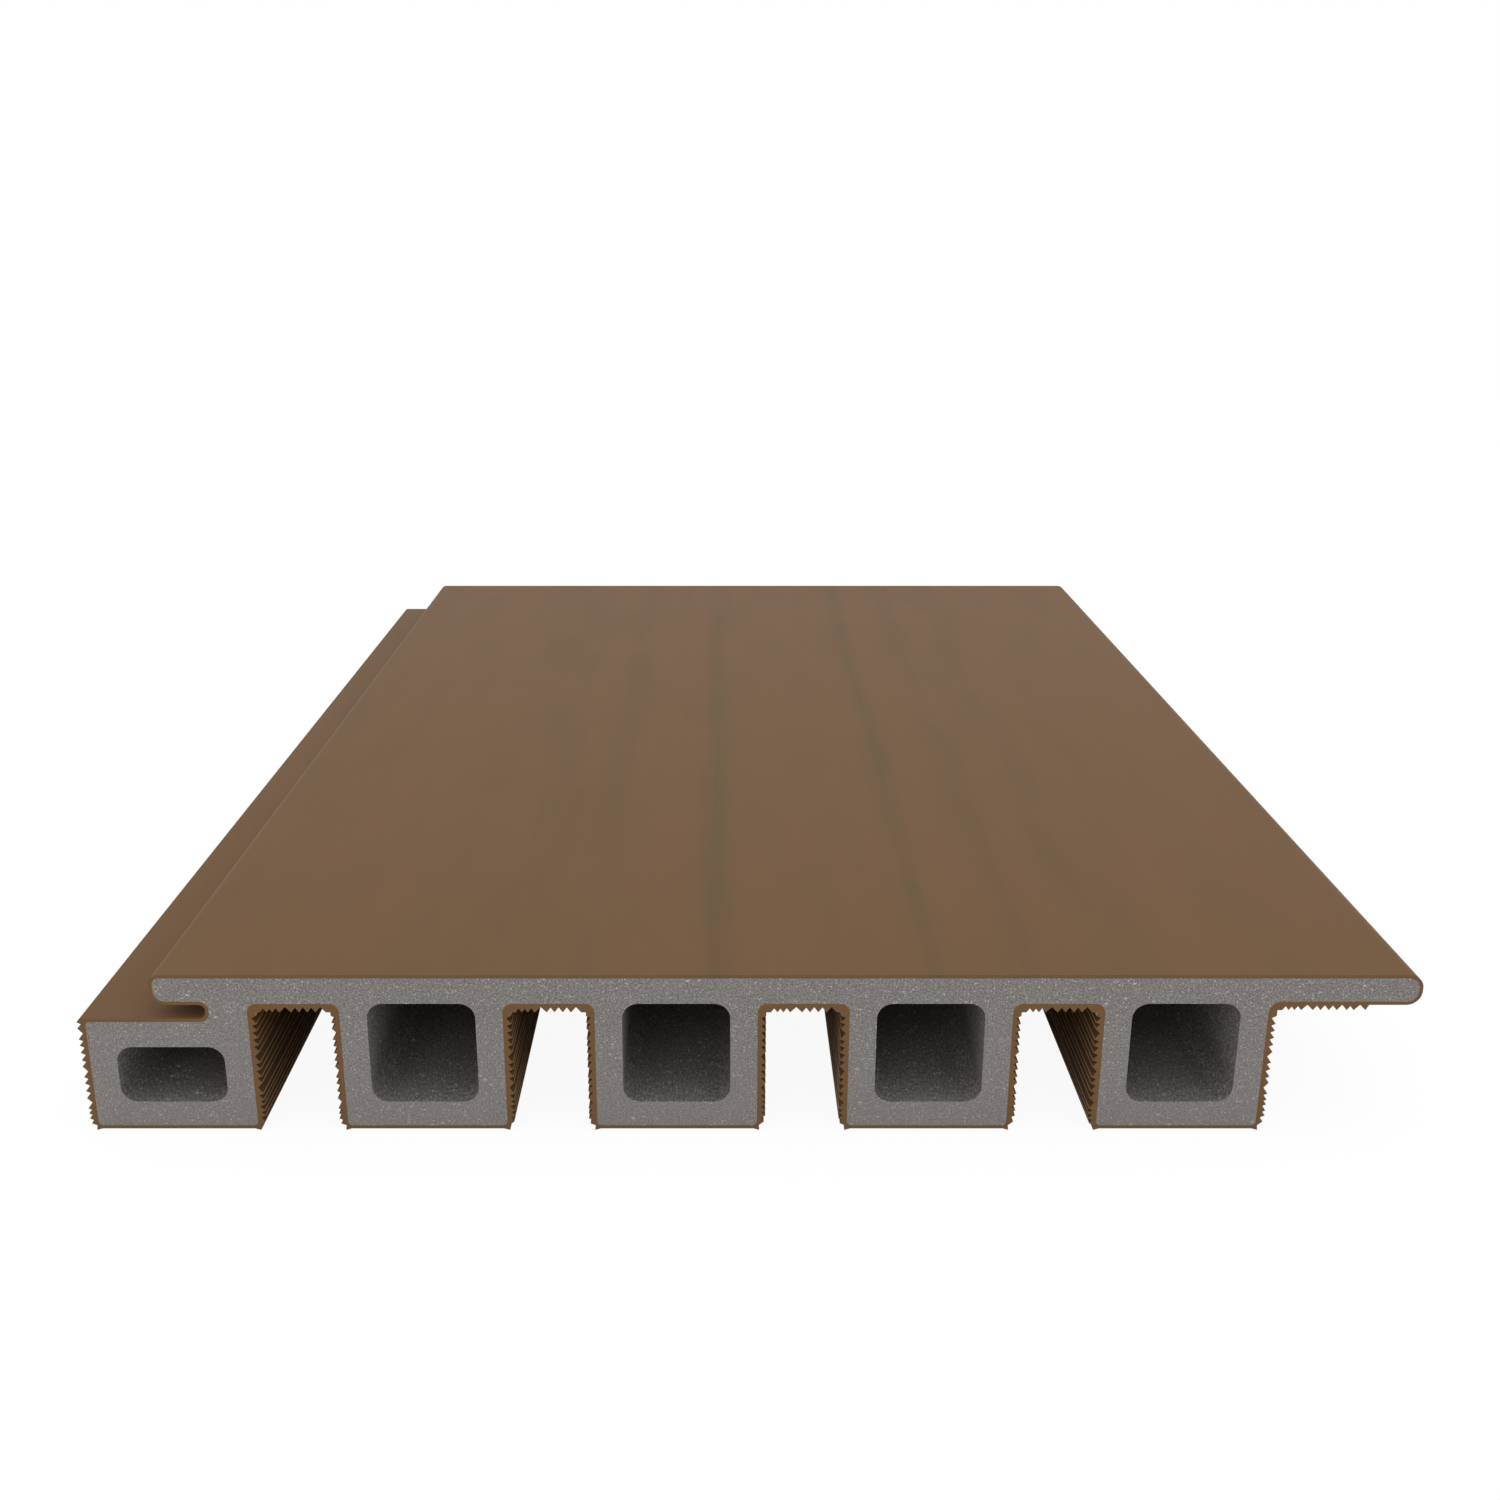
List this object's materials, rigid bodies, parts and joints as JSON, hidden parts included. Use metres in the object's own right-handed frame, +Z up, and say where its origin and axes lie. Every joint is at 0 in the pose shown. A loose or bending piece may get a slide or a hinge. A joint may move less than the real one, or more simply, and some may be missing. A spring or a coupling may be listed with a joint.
{
  "type": "composite cladding board",
  "caption": "Short length of hollow wood-plastic cladding board: flat face, parallel box ribs with toothed channels, a slotted tongue along one edge and a lip along the other.",
  "frame": {"origin": "centre of the board's box on the floor, at the tips of the nubs that its rib feet lie on", "axes": "+X across the board from the tongue to the long lip, +Y along it, +Z up, out of the flat face"},
  "size_m": [0.219, 0.288, 0.0286],
  "materials": {
    "core": "matte",
    "cap": "satin"
  },
  "bodies": {
    "root": {"board_core": "core", "tongue_core": "core", "short_lip_core": "core", "board_cap": "cap", "tongue_cap": "cap", "short_lip_cap": "cap", "slot_end_cap": "cap"}
  },
  "joints": []
}
